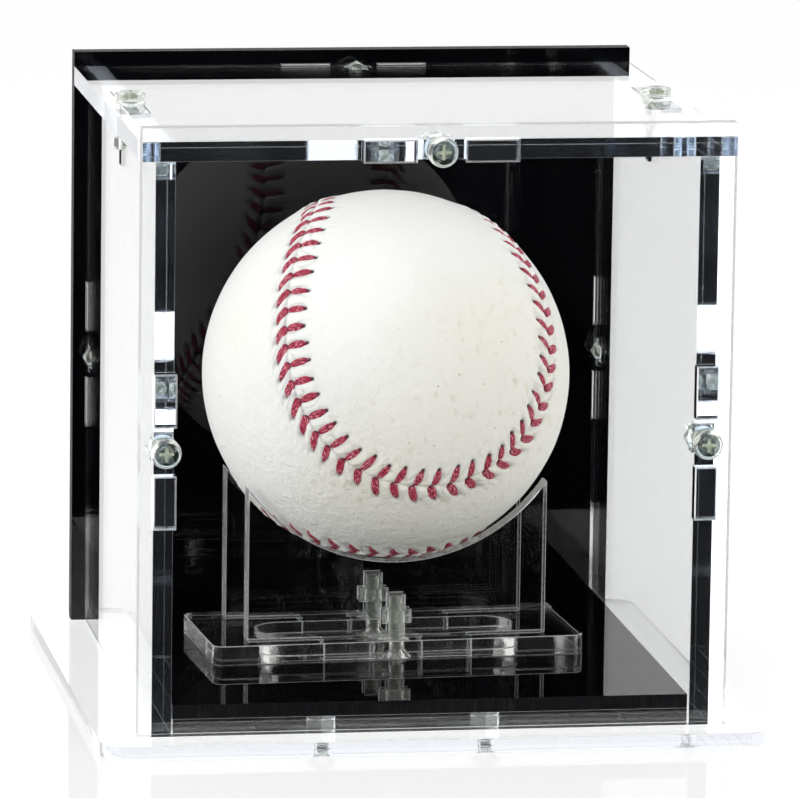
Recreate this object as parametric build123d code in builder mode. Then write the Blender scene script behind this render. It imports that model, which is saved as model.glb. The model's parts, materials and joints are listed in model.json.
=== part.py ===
"""A clear acrylic display case for one baseball, in millimetres.

A clear base plate carries a clear plinth and a black floor. Five laser cut panels make a cover that drops over the
plinth, held together by tabs and by clear screws whose nuts sit in slots of the panel edges. A small stand of two
cradles on a slotted foot stands loose on the floor and carries the ball.

The origin is the middle of the base plate's underside. X runs to the right, Y from front to back and Z upwards.
"""
from build123d import *
import os
from math import cos, pi, radians, sin, sqrt

# Sheet thicknesses
case_sheet = 3.9
base_sheet = 2.8
stand_sheet = 3.9

# Case panels
case_width = 116.2
case_depth = 113.4
panel_height = 119.3
side_inset = 2.9
top_inset = 3.0

# Base
base_overhang = 7.7
base_corner_radius = 5.0
base_screw_spacing = 33.2
cover_clearance = 0.3

# Tabs and the slots they pass through
tab_length = 10.0
tab_spacing = 20.0
mortise_clearance = 0.25

# M3 screws and nuts
screw_diameter = 3.0
case_screw_length = 12.0
stand_screw_length = 12.0
base_screw_length = 5.0
base_driver_turn = 20
stand_driver_turn = 15
pan_head_diameter = 6.0
pan_head_height = 2.2
pan_head_round = 0.9
flat_head_diameter = 5.6
flat_head_rim = 0.2
sink_angle = 90
recess_length = 3.2
recess_width = 0.8
recess_depth = 1.2
tip_chamfer = 0.4
nut_across_flats = 5.5
nut_thickness = 2.4
thread_clearance = 0.05
screw_clearance = 0.2
nut_clearance = 0.1
nut_depth = 3.0
slot_end_gap = 0.6

# Stand
stand_length = 76.0
stand_depth = 33.5
stand_corner_radius = 2.4
stand_slot_length = 52.9
stand_slot_width = 12.2
cradle_width = 61.0
cradle_spacing = 22.8
cradle_arc_radius = 37.5
cradle_arc_bottom = 15.5
stand_x = -1.2
stand_y = 0.6
stand_turn = 3.2

# Ball
ball_diameter = 73.8
leather_thickness = 1.3
pill_diameter = 35.0
ball_clearance = 0.25
ball_tilt = -42.5
ball_spin = -38.7
stitch_pairs = 108
stitch_length = 4.3
stitch_width = 1.2
stitch_proud = 0.2
stitch_sunk = 0.2
stitch_lean = 65.0

# The seam's line on the ball, as shares of its radius
seam_first = 0.66
seam_third = 0.34
seam_fifth = -0.02
seam_rise = 0.91
seam_knots = 96
seam_steps = 3600
seam_wall_margin = 3.5

# Places worked out from the sizes above
base_top = base_sheet
plinth_top = base_top + base_sheet
floor_top = plinth_top + base_sheet
top_z = base_top + panel_height - top_inset
side_height = top_z - case_sheet - base_top
side_middle = base_top + side_height / 2
inner_depth = case_depth - 2 * case_sheet
side_x = case_width / 2 - side_inset - case_sheet / 2
inner_width = 2 * side_x - case_sheet
mortise_length = tab_length + 2 * mortise_clearance
mortise_width = case_sheet + 2 * mortise_clearance
hole_radius = screw_diameter / 2 + screw_clearance / 2
sink_radius = flat_head_diameter / 2 + flat_head_rim + screw_clearance / 2
nut_slot_width = nut_across_flats + 2 * nut_clearance
nut_slot_thickness = nut_thickness + 2 * nut_clearance
stand_top = floor_top + stand_sheet

os.makedirs("parts", exist_ok=True)


def save(piece, name):
    """Labels a finished piece and writes its STEP file."""
    piece.part.label = name
    export_step(piece.part, f"parts/{name}.step")


def screw_slot(screw_reach):
    """A T shaped slot that opens at a panel's edge: a stem for the screw and a bar for its nut."""
    stem = screw_reach + slot_end_gap
    Rectangle(2 * hole_radius, stem, align=(Align.CENTER, Align.MIN), mode=Mode.SUBTRACT)
    with Locations((0, nut_depth)):
        Rectangle(nut_slot_width, nut_slot_thickness, align=(Align.CENTER, Align.MIN), mode=Mode.SUBTRACT)


def recess(seat):
    """The cross shaped driver recess in a screw head whose outer face is the plane seat."""
    with BuildSketch(seat) as cross:
        Rectangle(recess_length, recess_width)
        Rectangle(recess_width, recess_length)
    extrude(cross.sketch, amount=-recess_depth, mode=Mode.SUBTRACT)


def shank(seat, length):
    """A screw's shank, running down from the plane seat, with a chamfered tip."""
    with BuildSketch(seat) as section:
        Circle(screw_diameter / 2)
    extrude(section.sketch, amount=-length)


def chamfer_tip(screw, seat):
    """Chamfers the end of the shank, which lies furthest behind the plane seat."""
    tip = screw.faces().sort_by(Axis(seat.origin, seat.z_dir))[0]
    chamfer(tip.edges(), tip_chamfer)


def pan_screw(name, seat, driver_turn):
    """A pan head screw that bears on the plane seat, whose normal points outwards."""
    with BuildPart() as screw:
        with BuildSketch(seat):
            Circle(pan_head_diameter / 2)
        extrude(amount=pan_head_height)
        rim = screw.faces().sort_by(Axis(seat.origin, seat.z_dir))[-1].edges()
        fillet(rim, pan_head_round)
        shank(seat, case_screw_length)
        chamfer_tip(screw, seat)
        recess(seat.offset(pan_head_height).rotated((0, 0, driver_turn)))
    save(screw, name)


def flat_screw(name, seat, length, driver_turn):
    """A countersunk screw whose flat head lies flush with the plane seat, its shank on the far side."""
    with BuildPart() as screw:
        with BuildSketch(seat):
            Circle(flat_head_diameter / 2)
        extrude(amount=-flat_head_rim)
        with BuildSketch(seat.offset(-flat_head_rim)):
            Circle(flat_head_diameter / 2)
        extrude(amount=-(flat_head_diameter - screw_diameter) / 2, taper=sink_angle / 2)
        shank(seat, length)
        chamfer_tip(screw, seat)
        recess(seat.rotated((0, 0, driver_turn)))
    save(screw, name)


def nut(name, face):
    """A hexagon nut whose nearer face is the plane face, with two flats square to the plane's x direction."""
    with BuildPart() as piece:
        with BuildSketch(face):
            RegularPolygon(nut_across_flats / 2, 6, major_radius=False, rotation=30)
            Circle(screw_diameter / 2 + thread_clearance, mode=Mode.SUBTRACT)
        extrude(amount=-nut_thickness)
    save(piece, name)


# Base plate, with two countersunk holes from beneath
with BuildPart() as base_plate:
    with BuildSketch(Plane.XY):
        RectangleRounded(case_width + 2 * base_overhang, case_depth + 2 * base_overhang, base_corner_radius)
    extrude(amount=base_sheet)
    with Locations(Plane(origin=(0, 0, 0), x_dir=(1, 0, 0), z_dir=(0, 0, -1))):
        with GridLocations(base_screw_spacing, 0, 2, 1):
            CounterSinkHole(hole_radius, sink_radius, counter_sink_angle=sink_angle)
save(base_plate, "base_plate")

# Plinth, which centres the cover and holds the base nuts
with BuildPart() as plinth_plate:
    with BuildSketch(Plane.XY.offset(base_top)):
        Rectangle(inner_width - 2 * cover_clearance, inner_depth - 2 * cover_clearance)
        with GridLocations(base_screw_spacing, 0, 2, 1):
            RegularPolygon(nut_slot_width / 2, 6, major_radius=False, rotation=30, mode=Mode.SUBTRACT)
    extrude(amount=base_sheet)
save(plinth_plate, "plinth_plate")

# Black floor, bonded on the plinth
with BuildPart() as floor_panel:
    with BuildSketch(Plane.XY.offset(plinth_top)):
        Rectangle(inner_width - 2 * cover_clearance, inner_depth - 2 * cover_clearance)
    extrude(amount=base_sheet)
save(floor_panel, "floor_panel")

# Base screws and nuts
for side, sign in (("left", -1), ("right", 1)):
    seat = Plane(origin=(sign * base_screw_spacing / 2, 0, 0), x_dir=(1, 0, 0), z_dir=(0, 0, -1))
    flat_screw(f"base_{side}_screw", seat, base_screw_length, sign * base_driver_turn)
    nut(f"base_{side}_nut", seat.offset(-base_sheet))

# Front and back panels, with slots for the tabs and holes for the screws
for name, sign in (("front_panel", -1), ("back_panel", 1)):
    inner_face = Plane(origin=(0, sign * inner_depth / 2, 0), x_dir=(1, 0, 0), z_dir=(0, -1, 0))
    with BuildPart() as panel:
        with BuildSketch(inner_face):
            with Locations((0, base_top)):
                Rectangle(case_width, panel_height, align=(Align.CENTER, Align.MIN))
            with Locations((0, top_z - case_sheet / 2)):
                with GridLocations(tab_spacing, 0, 2, 1):
                    Rectangle(mortise_length, mortise_width, mode=Mode.SUBTRACT)
                Circle(hole_radius, mode=Mode.SUBTRACT)
            with Locations((0, side_middle)):
                with GridLocations(2 * side_x, tab_spacing, 2, 2):
                    Rectangle(mortise_width, mortise_length, mode=Mode.SUBTRACT)
                with GridLocations(2 * side_x, 0, 2, 1):
                    Circle(hole_radius, mode=Mode.SUBTRACT)
        extrude(amount=-sign * case_sheet)
    save(panel, name)

# Top panel, tabbed at the front and back, slotted for the side panels' tabs
with BuildPart() as top_panel:
    with BuildSketch(Plane.XY.offset(top_z - case_sheet)):
        Rectangle(case_width, inner_depth)
        with GridLocations(tab_spacing, inner_depth + case_sheet, 2, 2):
            Rectangle(tab_length, case_sheet)
        with GridLocations(2 * side_x, tab_spacing, 2, 2):
            Rectangle(mortise_width, mortise_length, mode=Mode.SUBTRACT)
        with GridLocations(2 * side_x, 0, 2, 1):
            Circle(hole_radius, mode=Mode.SUBTRACT)
        with Locations(Location((0, -inner_depth / 2)), Location((0, inner_depth / 2), 180)):
            screw_slot(case_screw_length - case_sheet)
    extrude(amount=case_sheet)
save(top_panel, "top_panel")

# Side panels, tabbed at the front, back and top
for name, sign in (("left_panel", -1), ("right_panel", 1)):
    with BuildPart() as panel:
        with BuildSketch(Plane.YZ.offset(sign * side_x - case_sheet / 2)):
            with Locations((0, side_middle)):
                Rectangle(inner_depth, side_height)
                with GridLocations(inner_depth + case_sheet, tab_spacing, 2, 2):
                    Rectangle(case_sheet, tab_length)
                with Locations(Location((-inner_depth / 2, 0), -90), Location((inner_depth / 2, 0), 90)):
                    screw_slot(case_screw_length - case_sheet)
                with Locations((0, (side_height + case_sheet) / 2)):
                    with GridLocations(tab_spacing, 0, 2, 1):
                        Rectangle(tab_length, case_sheet)
                with Locations(Location((0, side_height / 2), 180)):
                    screw_slot(case_screw_length - case_sheet)
        extrude(amount=case_sheet)
    save(panel, name)

# Case screws and nuts. Each seat is on a panel's outer face, and its x direction lies across the nut's slot
front_y = case_depth / 2
top_middle = top_z - case_sheet / 2
case_joints = {
    "front_top": ((0, -front_y, top_middle), (1, 0, 0), (0, -1, 0), 0),
    "front_left": ((-side_x, -front_y, side_middle), (0, 0, 1), (0, -1, 0), 25),
    "front_right": ((side_x, -front_y, side_middle), (0, 0, 1), (0, -1, 0), 40),
    "back_top": ((0, front_y, top_middle), (1, 0, 0), (0, 1, 0), 10),
    "back_left": ((-side_x, front_y, side_middle), (0, 0, 1), (0, 1, 0), 60),
    "back_right": ((side_x, front_y, side_middle), (0, 0, 1), (0, 1, 0), 35),
    "top_left": ((-side_x, 0, top_z), (0, 1, 0), (0, 0, 1), 15),
    "top_right": ((side_x, 0, top_z), (0, 1, 0), (0, 0, 1), 70),
}
for name, (origin, across, outwards, driver_turn) in case_joints.items():
    seat = Plane(origin=origin, x_dir=across, z_dir=outwards)
    pan_screw(f"{name}_screw", seat, driver_turn)
    nut(f"{name}_nut", seat.offset(-(case_sheet + nut_depth)))

# Stand foot, in its own plane on the floor
stand_plane = Plane(Location((stand_x, stand_y, floor_top), (0, 0, stand_turn)))
with BuildPart() as stand_base:
    with BuildSketch(stand_plane):
        RectangleRounded(stand_length, stand_depth, stand_corner_radius)
        SlotOverall(stand_slot_length, stand_slot_width, mode=Mode.SUBTRACT)
        with GridLocations(tab_spacing, cradle_spacing, 2, 2):
            Rectangle(mortise_length, mortise_width, mode=Mode.SUBTRACT)
    extrude(amount=stand_sheet)
    with Locations(Plane(origin=stand_plane.origin, x_dir=stand_plane.x_dir, z_dir=(0, 0, -1))):
        with GridLocations(0, cradle_spacing, 1, 2):
            CounterSinkHole(hole_radius, sink_radius, counter_sink_angle=sink_angle)
save(stand_base, "stand_base")

# Cradles, with their screws and nuts
cradle_height = cradle_arc_bottom + cradle_arc_radius - sqrt(cradle_arc_radius**2 - (cradle_width / 2) ** 2)
for side, sign in (("front", -1), ("rear", 1)):
    y = sign * cradle_spacing / 2
    face = Plane(
        origin=stand_plane.from_local_coords((0, y + stand_sheet / 2, stand_sheet)),
        x_dir=stand_plane.x_dir,
        z_dir=-stand_plane.y_dir,
    )
    with BuildPart() as cradle:
        with BuildSketch(face):
            Rectangle(cradle_width, cradle_height, align=(Align.CENTER, Align.MIN))
            with Locations((0, cradle_arc_bottom + cradle_arc_radius)):
                Circle(cradle_arc_radius, mode=Mode.SUBTRACT)
            with Locations((0, -stand_sheet / 2)):
                with GridLocations(tab_spacing, 0, 2, 1):
                    Rectangle(tab_length, stand_sheet)
            screw_slot(stand_screw_length - stand_sheet)
        extrude(amount=stand_sheet)
    save(cradle, f"{side}_cradle")
    under = Plane(
        origin=stand_plane.from_local_coords((0, y, 0)),
        x_dir=stand_plane.x_dir,
        z_dir=(0, 0, -1),
    )
    flat_screw(f"stand_{side}_screw", under, stand_screw_length, sign * stand_driver_turn)
    nut(f"stand_{side}_nut", under.offset(-(stand_sheet + nut_depth)))

# Ball, resting on the inner edges of both cradles
ball_radius = ball_diameter / 2
cradle_inner_y = cradle_spacing / 2 - stand_sheet / 2
ball_z = stand_top + cradle_arc_bottom + ball_clearance + sqrt(ball_radius**2 - cradle_inner_y**2)
ball_place = Location((stand_x, stand_y, ball_z), (ball_tilt, 0, ball_spin))
ball_plane = Plane(ball_place)
yarn_radius = ball_radius - leather_thickness

with BuildPart() as ball_pill:
    with Locations(ball_place):
        Sphere(pill_diameter / 2)
save(ball_pill, "ball_pill")

with BuildPart() as ball_winding:
    with Locations(ball_place):
        Sphere(yarn_radius)
        Sphere(pill_diameter / 2, mode=Mode.SUBTRACT)
save(ball_winding, "ball_winding")


def seam_direction(turn):
    """The unit vector from the ball's centre to the seam at one turn angle, in the ball's own frame."""
    x = seam_first * cos(turn) + seam_third * cos(3 * turn) + seam_fifth * cos(5 * turn)
    y = seam_first * sin(turn) - seam_third * sin(3 * turn) + seam_fifth * sin(5 * turn)
    return Vector(x, y, seam_rise * sin(2 * turn)).normalized()


def seam_curve(radius):
    """The closed seam line at one radius from the ball's centre."""
    turns = [2 * pi * k / seam_knots for k in range(seam_knots)]
    points = [ball_plane.from_local_coords(seam_direction(turn) * radius) for turn in turns]
    return Edge.make_spline(points, periodic=True)


# The two leather panels are one shell, parted by a wall along the seam that runs past both faces of the leather
seam_wall = Face.make_surface_from_curves(
    seam_curve(yarn_radius - seam_wall_margin),
    seam_curve(ball_radius + seam_wall_margin),
)
with BuildPart() as leather:
    with Locations(ball_place):
        Sphere(ball_radius)
        Sphere(yarn_radius, mode=Mode.SUBTRACT)
    split(bisect_by=seam_wall, keep=Keep.BOTH)
for name, solid in zip(("leather_panel_front", "leather_panel_rear"), leather.solids().sort_by(Axis.Y)):
    with BuildPart() as panel:
        add(solid)
    save(panel, name)


def stitch_turns():
    """Turn angles that space the stitch pairs evenly along the seam."""
    step = 2 * pi / seam_steps
    length = [0.0]
    for k in range(seam_steps):
        length.append(length[-1] + (seam_direction((k + 1) * step) - seam_direction(k * step)).length)
    turns = []
    k = 0
    for pair in range(stitch_pairs):
        wanted = length[-1] * pair / stitch_pairs
        while length[k + 1] < wanted:
            k += 1
        turns.append((k + (wanted - length[k]) / (length[k + 1] - length[k])) * step)
    return turns


def seam_place(turn):
    """The ball's centre, turned so that Z points at the seam and X runs along it."""
    step = 2 * pi / seam_steps
    out = ball_plane.from_local_coords(seam_direction(turn)) - ball_plane.origin
    along = ball_plane.from_local_coords(seam_direction(turn + step) - seam_direction(turn - step))
    return Location(Plane(origin=ball_plane.origin, x_dir=along - ball_plane.origin, z_dir=out))


# One pair of stitches leans forward from the seam, one to each side, pressed into the leather
with BuildPart() as stitch_pair:
    for side in (-1, 1):
        arm = Vector(cos(radians(stitch_lean)), side * sin(radians(stitch_lean)), 0)
        out = (Vector(0, 0, ball_radius) + arm * (stitch_length / 2)).normalized()
        with BuildSketch(Plane(origin=out * (ball_radius - stitch_sunk), x_dir=arm - out * arm.dot(out), z_dir=out)):
            SlotOverall(stitch_length, stitch_width)
        extrude(amount=stitch_sunk + stitch_proud)

with BuildPart() as seam_stitching:
    with Locations(*[seam_place(turn) for turn in stitch_turns()]):
        add(stitch_pair.part)
save(seam_stitching, "seam_stitching")
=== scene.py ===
"""Looks of a clear display case for one baseball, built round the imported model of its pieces.

Run as a script, it dresses the clear and black sheets, builds threaded screws, chamfered nuts, the ball's
two leather panels and its stitches, and lights the whole on a white table. Lengths are in metres unless a
name or a comment says otherwise.
"""
import json
from math import atan2, cos, pi, radians, sin, sqrt, tan

import bmesh
import bpy
import numpy as np
from bpy.props import FloatProperty, FloatVectorProperty, IntProperty, PointerProperty
from mathutils import Matrix, Vector, noise
from mathutils.kdtree import KDTree


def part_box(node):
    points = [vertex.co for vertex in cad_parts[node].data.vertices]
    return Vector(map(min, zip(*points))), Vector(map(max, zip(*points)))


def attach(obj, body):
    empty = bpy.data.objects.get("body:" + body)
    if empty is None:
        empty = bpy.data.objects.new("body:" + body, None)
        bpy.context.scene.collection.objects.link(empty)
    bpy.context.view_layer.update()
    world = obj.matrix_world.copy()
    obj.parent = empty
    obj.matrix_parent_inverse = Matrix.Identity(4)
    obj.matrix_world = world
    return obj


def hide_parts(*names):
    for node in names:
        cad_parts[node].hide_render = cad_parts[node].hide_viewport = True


bl_info = {
    "name": "Baseball Display Case",
    "version": (1, 0, 0),
    "blender": (4, 5, 0),
    "location": "View3D > Sidebar > Display Case",
    "description": "Dresses a screwed acrylic display case and the ball that it holds",
    "category": "Object",
}

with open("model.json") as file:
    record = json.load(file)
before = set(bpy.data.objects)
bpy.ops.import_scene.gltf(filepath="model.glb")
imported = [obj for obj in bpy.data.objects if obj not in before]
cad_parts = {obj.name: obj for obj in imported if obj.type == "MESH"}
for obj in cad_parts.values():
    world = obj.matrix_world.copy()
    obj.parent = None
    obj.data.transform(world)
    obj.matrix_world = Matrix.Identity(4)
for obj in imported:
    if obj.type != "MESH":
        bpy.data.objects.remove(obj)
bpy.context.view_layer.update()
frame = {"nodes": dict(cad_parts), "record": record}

MM = 0.001
FULL_TURN = 2 * pi
COLOUR = {"subtype": "COLOR", "size": 4, "min": 0, "max": 1}

CLEAR_PANELS = ("front_panel", "left_panel", "right_panel", "top_panel")
CRADLES = ("front_cradle", "rear_cradle")
BLACK_SHEETS = ("back_panel", "floor_panel")
THICKNESS_AXIS = {
    "front_panel": "Y",
    "back_panel": "Y",
    "left_panel": "X",
    "right_panel": "X",
    "front_cradle": "Y",
    "rear_cradle": "Y",
}


class SheetSettings(bpy.types.PropertyGroup):
    """Finish of the clear and black acrylic sheets."""

    clear_colour: FloatVectorProperty(
        name="Clear colour",
        description="Colour that light takes on at each face of a clear sheet",
        default=(0.985, 0.992, 0.99, 1),
        **COLOUR,
    )
    black_colour: FloatVectorProperty(
        name="Black colour",
        description="Body colour of the black sheets",
        default=(0.0014, 0.0014, 0.002, 1),
        **COLOUR,
    )
    edge_break: FloatProperty(
        name="Edge break",
        description="Width of the fine chamfer along a cut sheet's edges",
        unit="LENGTH",
        default=0.03 * MM,
    )
    fit_gap: FloatProperty(
        name="Fit gap",
        description="Air film that keeps touching sheets apart, on each face",
        unit="LENGTH",
        default=0.012 * MM,
    )
    panel_frost: FloatProperty(
        name="Panel frost",
        description="Greatest roughness of the cut edges of the panels and the base",
        default=0.06,
    )
    stand_frost: FloatProperty(
        name="Stand frost",
        description="Greatest roughness of the cut edges of the ball's stand",
        default=0.26,
    )
    stria_pitch: FloatProperty(
        name="Stria pitch",
        description="Distance between the fine ridges that the laser leaves on a cut edge",
        unit="LENGTH",
        default=0.5 * MM,
    )


class FastenerSettings(bpy.types.PropertyGroup):
    """Shape and colour of the clear plastic screws and nuts."""

    thread_pitch: FloatProperty(
        name="Thread pitch",
        description="Rise of the thread in one turn",
        unit="LENGTH",
        default=0.5 * MM,
    )
    thread_depth: FloatProperty(
        name="Thread depth",
        description="Depth of the thread's groove",
        unit="LENGTH",
        default=0.28 * MM,
    )
    colour: FloatVectorProperty(
        name="Fastener colour",
        description="Faint tint of the clear plastic",
        default=(0.95, 0.975, 0.92, 1),
        **COLOUR,
    )


class BallSettings(bpy.types.PropertyGroup):
    """Shape and colours of the ball's leather and stitches."""

    leather_colour: FloatVectorProperty(
        name="Leather colour",
        description="Main colour of the ball's leather",
        default=(0.86, 0.86, 0.84, 1),
        **COLOUR,
    )
    thread_colour: FloatVectorProperty(
        name="Thread colour",
        description="Main colour of the stitching thread",
        default=(0.43, 0.028, 0.062, 1),
        **COLOUR,
    )
    stitch_pairs: IntProperty(
        name="Stitch pairs",
        description="Pairs of stitches along the whole seam",
        default=108,
    )


class StageSettings(bpy.types.PropertyGroup):
    """Light and table."""

    key_power: FloatProperty(
        name="Key power",
        description="Power of the soft lamp above the case",
        unit="POWER",
        default=2.0,
    )
    side_power: FloatProperty(
        name="Side power",
        description="Power of the soft lamp to the case's left",
        unit="POWER",
        default=12.0,
    )
    fill_power: FloatProperty(
        name="Fill power",
        description="Power of the soft lamp to the case's right",
        unit="POWER",
        default=8.7,
    )
    ambient: FloatProperty(
        name="Ambient",
        description="Strength of the light that comes from all round",
        default=1.0,
    )
    backdrop: FloatProperty(
        name="Backdrop",
        description="Strength of the white backdrop behind the case, as clear and glossy pieces show it",
        default=1.75,
    )
    table_front: FloatProperty(
        name="Table front",
        description="How far in front of the case's middle the part of the table that it mirrors reaches",
        unit="LENGTH",
        default=0.070,
    )


class NodeWork:
    """Nodes in the making, in one node tree."""

    def __init__(self, tree):
        tree.nodes.clear()
        self.tree = tree

    def node(self, kind, **settings):
        made = self.tree.nodes.new(kind)
        for key, value in settings.items():
            setattr(made, key, value)
        return made

    def feed(self, target, source):
        """Puts a number, colour or socket on an input."""
        if isinstance(source, bpy.types.NodeSocket):
            self.tree.links.new(source, target)
        else:
            target.default_value = source

    def wired(self, kind, sources, output=0, **settings):
        """One output of a new node whose inputs, by name or number, are fed from the sources."""
        made = self.node(kind, **settings)
        for key, source in sources.items():
            self.feed(made.inputs[key], source)
        return made.outputs[output]

    def math(self, operation, a, b=0.0, clamp=False):
        return self.wired("ShaderNodeMath", {0: a, 1: b}, operation=operation, use_clamp=clamp)

    def span(self, value, low, high, to_low=0.0, to_high=1.0, smooth=False):
        """Maps value from low..high to to_low..to_high and clamps it."""
        kind = "SMOOTHSTEP" if smooth else "LINEAR"
        sources = dict(enumerate((value, low, high, to_low, to_high)))
        return self.wired("ShaderNodeMapRange", sources, interpolation_type=kind)


class Finish(NodeWork):
    """A node material in the making."""

    def __init__(self, name):
        self.material = bpy.data.materials.new(name)
        self.material.use_nodes = True
        super().__init__(self.material.node_tree)
        self.surface = self.node("ShaderNodeOutputMaterial").inputs["Surface"]
        self.shader = self.node("ShaderNodeBsdfPrincipled")
        self.feed(self.surface, self.shader.outputs[0])
        self.place = self.node("ShaderNodeTexCoord").outputs["Object"]

    def made(self, **values):
        """The material, with values or sockets on its shader's inputs. Underscores stand for spaces."""
        for key, value in values.items():
            self.feed(self.shader.inputs[key.replace("_", " ")], value)
        return self.material

    def noise(self, size, detail=2.0, roughness=0.5, where=None):
        """A noise whose features are about size metres wide."""
        grain = {"Scale": 1 / size, "Detail": detail, "Roughness": roughness}
        return self.wired("ShaderNodeTexNoise", {"Vector": where or self.place, **grain})

    def cells(self, size, output="Distance"):
        """Cells about size metres wide."""
        return self.wired("ShaderNodeTexVoronoi", {"Vector": self.place, "Scale": 1 / size}, output)

    def stretched(self, scale, rotation=(0, 0, 0), where=None):
        """The place, turned and stretched along each axis."""
        sources = {"Vector": where or self.place, "Rotation": rotation, "Scale": scale}
        return self.wired("ShaderNodeMapping", sources)

    def blend(self, share, a, b):
        """A colour between a and b."""
        return self.wired("ShaderNodeMix", {"Factor": share, 6: a, 7: b}, output=2, data_type="RGBA")

    def bump(self, height, depth, under=None):
        """A normal from a height of 0 to 1 that stands for depth metres."""
        sources = {"Distance": depth, "Height": height}
        if under:
            sources["Normal"] = under
        return self.wired("ShaderNodeBump", sources)

    def vector(self, operation, a, b, output="Vector"):
        return self.wired("ShaderNodeVectorMath", {0: a, 1: b}, output, operation=operation)

    def soil(self):
        """How dark the mesh says that it is, for its dirt and its painted shade."""
        return self.node("ShaderNodeAttribute", attribute_name="soil").outputs["Fac"]

    def specks(self, cell, radius, share):
        """Small round specks, one in a given share of the cells."""
        near = self.span(self.cells(cell), radius / cell, 0.6 * radius / cell)
        which = self.wired("ShaderNodeSeparateColor", {0: self.cells(cell, output="Color")})
        return self.math("MULTIPLY", near, self.math("LESS_THAN", which, share))

    def mix(self, share, first, second):
        return self.wired("ShaderNodeMixShader", {0: share, 1: first, 2: second})

    def clear(self, colour, clarity, ior, roughness, normal, lamp_tint):
        """The material as clear plastic, which also lets lamp light pass."""
        shadow = self.node("ShaderNodeLightPath").outputs["Is Shadow Ray"]
        through = self.wired("ShaderNodeBsdfTransparent", {0: lamp_tint})
        self.feed(self.surface, self.mix(shadow, self.shader.outputs[0], through))
        return self.made(
            Base_Color=colour, Transmission_Weight=clarity, IOR=ior, Roughness=roughness, Normal=normal
        )


LAMP_TINT = (0.93, 0.93, 0.93, 1)
ACRYLIC_IOR = 1.49
FASTENER_IOR = 1.56
# Width of the ridges on a cut edge, as a share of their length.
RIDGE_WIDTH = 0.12


def dimmed(colour, share):
    """A colour at a share of its strength."""
    return tuple(share * c for c in colour[:3]) + (1,)


def clear_acrylic(settings):
    """Polished clear sheet, with faint smears and a slow wave in the face."""
    finish = Finish("clear_acrylic")
    smears = finish.span(finish.noise(9 * MM, 4, 0.6), 0.52, 0.75, 0.0, 0.012)
    wave = finish.bump(finish.noise(30 * MM, 1), 0.002 * MM)
    return finish.clear(settings.clear_colour, 1.0, ACRYLIC_IOR, smears, wave, LAMP_TINT)


def cut_ridges(finish, settings, axis):
    """Ridges that run across the thickness of a cut edge."""
    scale = [1 / settings.stria_pitch] * 3
    scale["XYZ".index(axis)] = RIDGE_WIDTH / settings.stria_pitch
    return finish.noise(1.0, 3.0, where=finish.stretched(scale))


def cut_edge(settings, axis, name, tint, frost, haze, depth):
    """Laser cut edge of a clear sheet whose thickness lies along axis, with ridges of a given depth."""
    finish = Finish(name)
    ridges = cut_ridges(finish, settings, axis)
    roughness = finish.span(ridges, 0.35, 0.75, 0.25 * frost, frost)
    return finish.clear(tint, 1 - haze, ACRYLIC_IOR, roughness, finish.bump(ridges, depth), LAMP_TINT)


def grained_plastic(name, colour, clarity, size, roughness, depth, lamp_tint=LAMP_TINT, ior=FASTENER_IOR):
    """Clear plastic with a grain of a given size, which sets its roughness and its relief."""
    finish = Finish(name)
    grain = finish.noise(size, 3)
    roughness = finish.span(grain, 0.3, 0.7, *roughness)
    return finish.clear(colour, clarity, ior, roughness, finish.bump(grain, depth), lamp_tint)


def frosted_rim():
    """Frosted rim left by the laser along a sheet's edges."""
    colour = (0.9, 0.92, 0.94, 1)
    return grained_plastic("frosted_rim", colour, 0.65, 0.4 * MM, (0.15, 0.5), 0.03 * MM, ior=ACRYLIC_IOR)


def moulded_plastic(settings, name, haze):
    """Clear moulded plastic with a faint tint and flow marks."""
    colour, tint = settings.colour, dimmed(settings.colour, 0.85)
    return grained_plastic(name, colour, 1 - haze, 1.6 * MM, (0.0, 0.05), 0.006 * MM, tint)


def head_face():
    """Flat face of a moulded screw head, painted near black: painted shade for the dark seen through the
    head.
    """
    colour, tint = (0.06, 0.07, 0.065, 1), (0.4, 0.42, 0.36, 1)
    return grained_plastic("head_face", colour, 0.93, 0.9 * MM, (0.02, 0.12), 0.004 * MM, tint)


def frosted_recess(settings):
    """Torn, frosted plastic in a screw's recess."""
    colour, tint = (0.50, 0.53, 0.40, 1), dimmed(settings.colour, 0.8)
    return grained_plastic("frosted_recess", colour, 0.6, 0.25 * MM, (0.25, 0.6), 0.05 * MM, tint)


def black_acrylic(settings):
    """Mirror glossy black sheet with a little dust."""
    finish = Finish("black_acrylic")
    dust = finish.math("MULTIPLY", finish.specks(6 * MM, 0.1 * MM, 0.3), 0.5)
    return finish.made(
        Base_Color=finish.blend(dust, tuple(settings.black_colour), (0.25, 0.25, 0.25, 1)),
        IOR=ACRYLIC_IOR,
        Roughness=finish.span(finish.noise(7 * MM, 5, 0.65), 0.45, 0.8, 0.01, 0.04),
        Normal=finish.bump(finish.noise(28 * MM, 1), 0.002 * MM),
    )


def black_cut_edge(settings, axis):
    """Matte laser cut edge of a black sheet whose thickness lies along axis."""
    finish = Finish(f"black_cut_edge_{axis.lower()}")
    ridges = cut_ridges(finish, settings, axis)
    valley, crest = (0.006, 0.006, 0.007, 1), (0.02, 0.02, 0.022, 1)
    return finish.made(
        Base_Color=finish.blend(finish.span(ridges, 0.5, 0.75), valley, crest),
        IOR=ACRYLIC_IOR,
        Specular_IOR_Level=0.12,
        Roughness=finish.span(ridges, 0.3, 0.8, 0.45, 0.7),
        Normal=finish.bump(ridges, 0.05 * MM),
    )


# Directions from the ball's middle to the sides that hands have soiled and wrinkled the most.
HELD_SIDE = (0.52, -0.74, -0.42)
WRINKLED_SIDE = (-0.60, -0.62, -0.50)


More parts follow.
